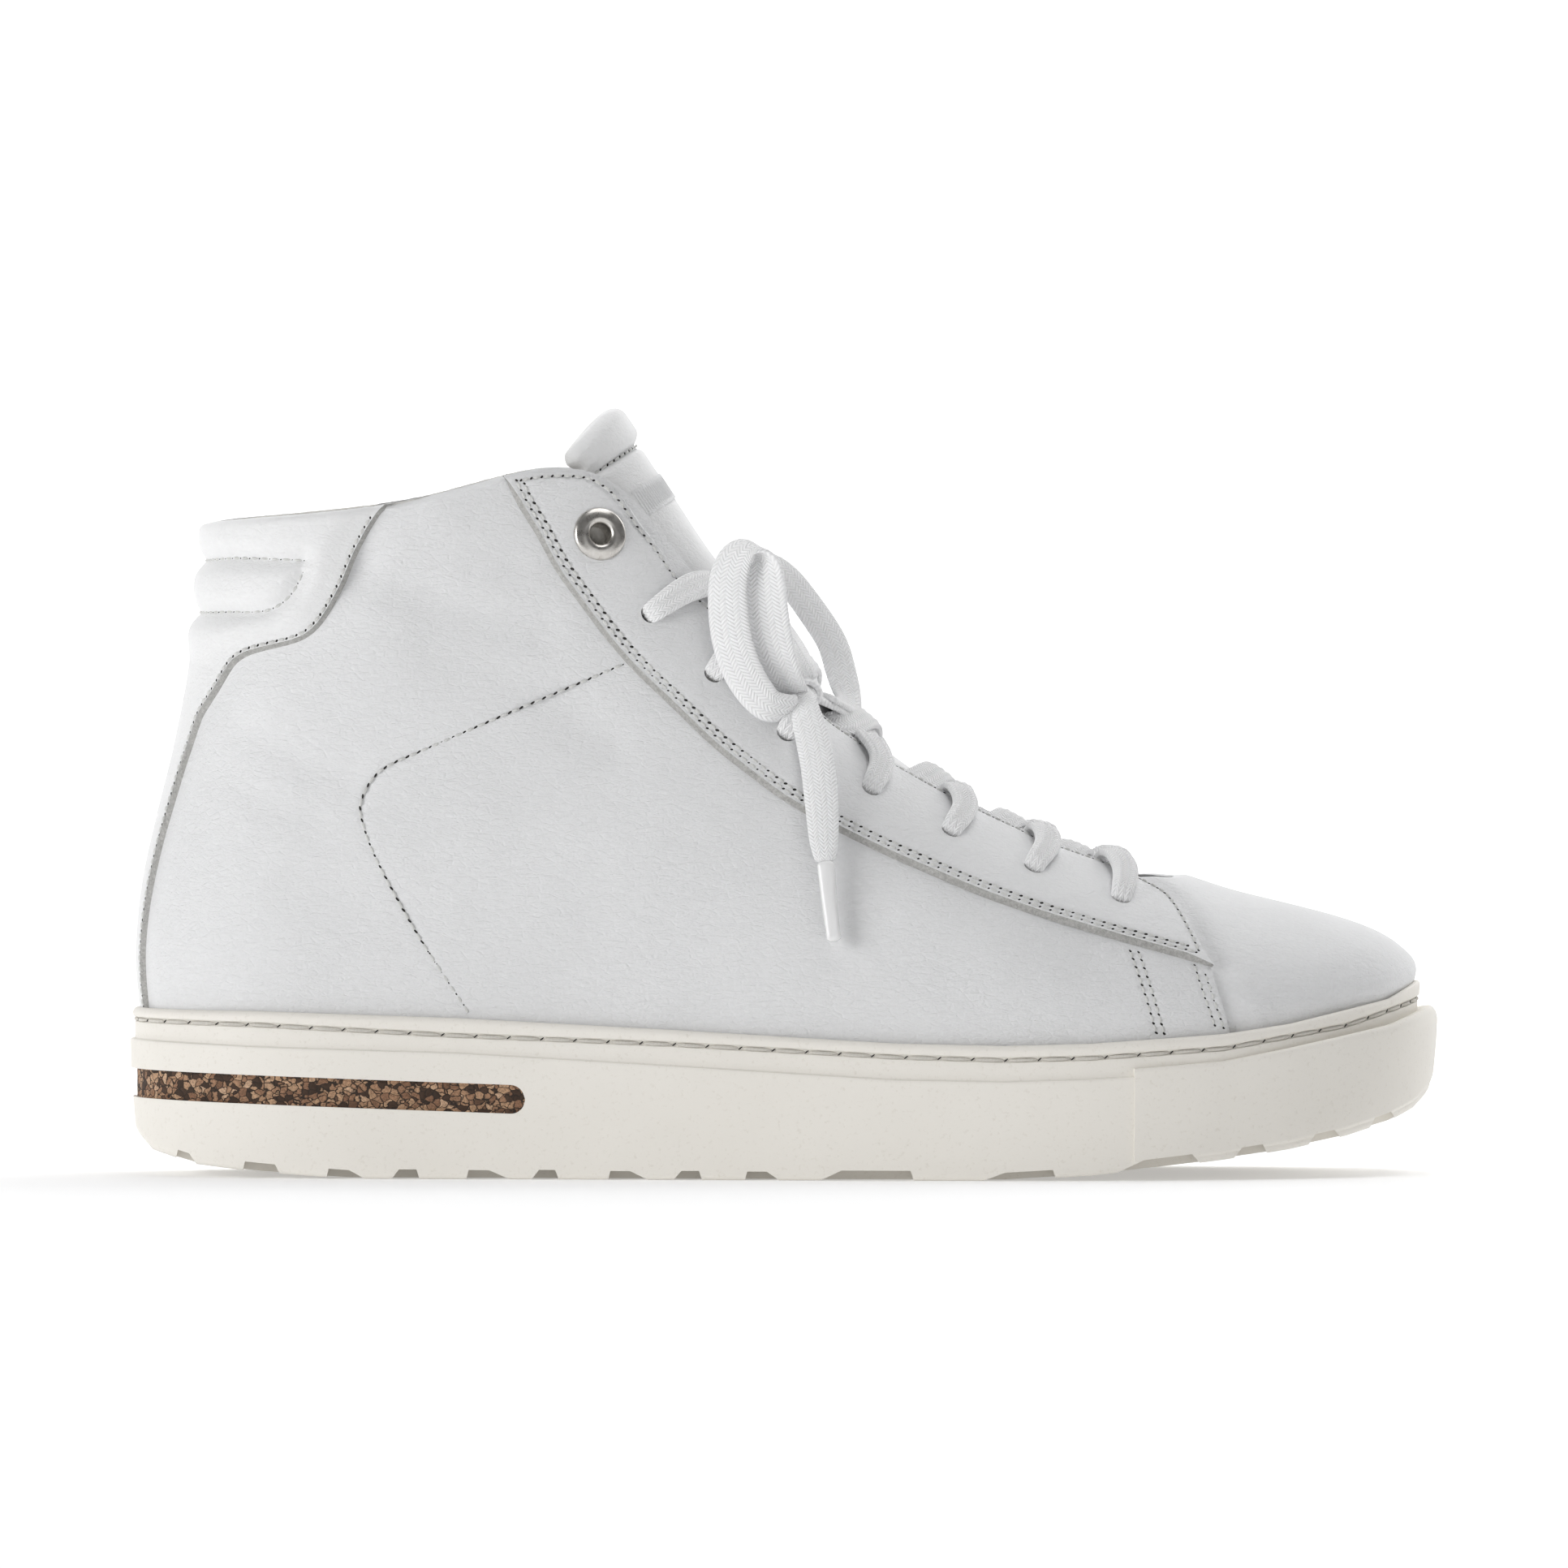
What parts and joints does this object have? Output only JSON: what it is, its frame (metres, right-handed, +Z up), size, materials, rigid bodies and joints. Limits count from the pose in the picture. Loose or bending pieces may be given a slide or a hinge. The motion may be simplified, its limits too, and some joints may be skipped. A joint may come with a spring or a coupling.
{
  "type": "high-top sneaker",
  "caption": "White leather high-top sneaker with a cup sole, cork inlay round the heel, padded collar and tongue, and flat laces tied in a bow.",
  "frame": {"origin": "on the ground under the middle of the shoe's box", "axes": "+X to the toe, +Y to the inner side of the foot, +Z up"},
  "size_m": [0.3003, 0.1138, 0.1765],
  "materials": {
    "white_leather": "fine grained, satin",
    "sole_rubber": "satin",
    "cork": "granular, matte",
    "thread": "matte",
    "foam": "matte",
    "board": "matte",
    "lining": "matte",
    "nickel": "polished",
    "lace": "woven, matte",
    "aglet": "gloss"
  },
  "bodies": {
    "shoe": {"outsole": "sole_rubber", "toe_bumper": "sole_rubber", "cork_inlay": "cork", "sidewall_thread": "thread", "midsole_filler": "foam", "insole_board": "board", "footbed": "foam", "footbed_cover": "lining", "vamp": "white_leather", "quarter_lateral": "white_leather", "quarter_medial": "white_leather", "heel_panel": "white_leather", "eyestay_lateral": "white_leather", "eyestay_medial": "white_leather", "eyestay_backing_lateral": "lining", "eyestay_backing_medial": "lining", "heel_counter": "board", "toe_puff": "board", "collar_foam": "foam", "quarter_lining": "lining", "vamp_lining": "lining", "tongue_leather": "white_leather", "tongue_foam": "foam", "tongue_lining": "lining", "metal_eyelet_lateral": "nickel", "metal_eyelet_medial": "nickel", "eyelet_washer_lateral": "nickel", "eyelet_washer_medial": "nickel", "lace_bar": "lace", "lace_strand_a": "lace", "lace_strand_b": "lace", "lace_knot": "lace", "bow_loop_near": "lace", "bow_loop_far": "lace", "lace_end_near": "lace", "lace_end_far": "lace", "aglet_near": "aglet", "aglet_far": "aglet"},
    "tongue_flap": {"tongue_top_leather": "white_leather", "tongue_top_foam": "foam", "tongue_top_lining": "lining", "tongue_label": "white_leather"}
  },
  "joints": [
    {"name": "tongue_fold", "type": "hinge", "parent": "shoe", "child": "tongue_flap", "pos_m": [-0.03037, 0, 0.14632], "axis": [0, 1, 0], "range_deg": [-20, 8], "stiffness_Nm_per_rad": 0.02}
  ]
}
